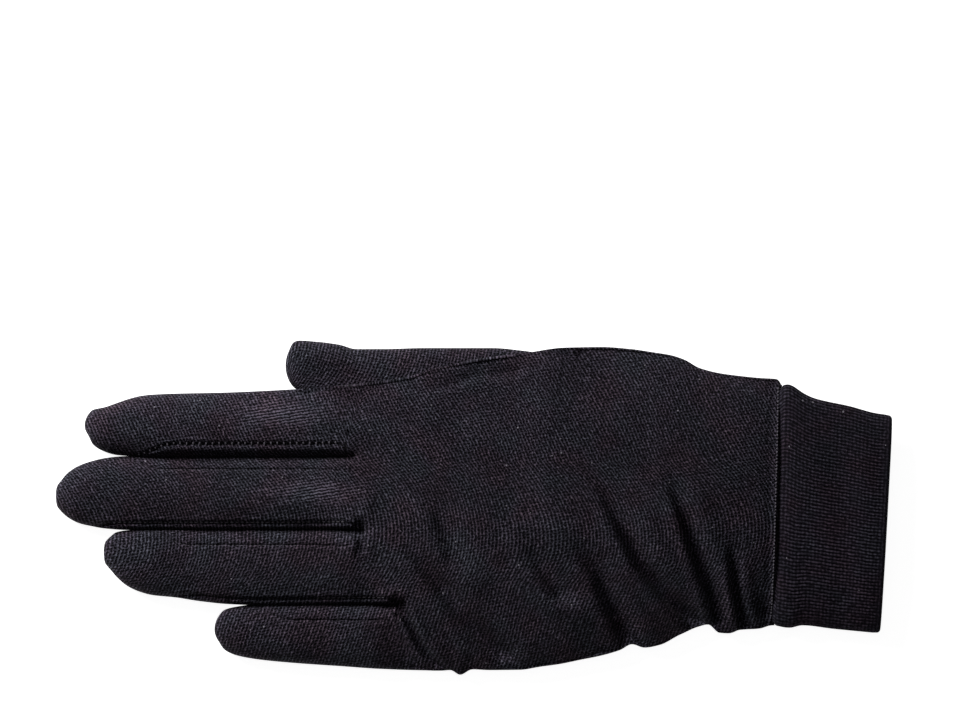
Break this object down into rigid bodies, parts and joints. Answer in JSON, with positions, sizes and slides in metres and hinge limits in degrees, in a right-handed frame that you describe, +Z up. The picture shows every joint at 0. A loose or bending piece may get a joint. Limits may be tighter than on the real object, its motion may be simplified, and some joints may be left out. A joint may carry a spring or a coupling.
{
  "type": "knitted glove liner",
  "caption": "Thin knitted glove liner for the left hand, lying palm down: back, palm, side strips between the fingers, thumb and ribbed cuff.",
  "frame": {"origin": "bottom centre of the liner's bounding box, on the surface it lies on", "axes": "+X from the fingertips to the cuff, +Y to the thumb side, +Z up from the palm to the back of the hand"},
  "size_m": [0.2442, 0.0954, 0.0138],
  "materials": {
    "plain_knit": "matt charcoal-black plain knit with tiny dark holes between the stitches",
    "rib_knit": "matt purplish black rib knit, ribs along the hand"
  },
  "bodies": {
    "root": {"hand_back": "plain_knit", "hand_palm": "plain_knit", "fourchette_index_middle": "plain_knit", "fourchette_middle_ring": "plain_knit", "fourchette_ring_little": "plain_knit", "thumb_sleeve": "plain_knit", "rib_cuff": "rib_knit"}
  },
  "joints": []
}
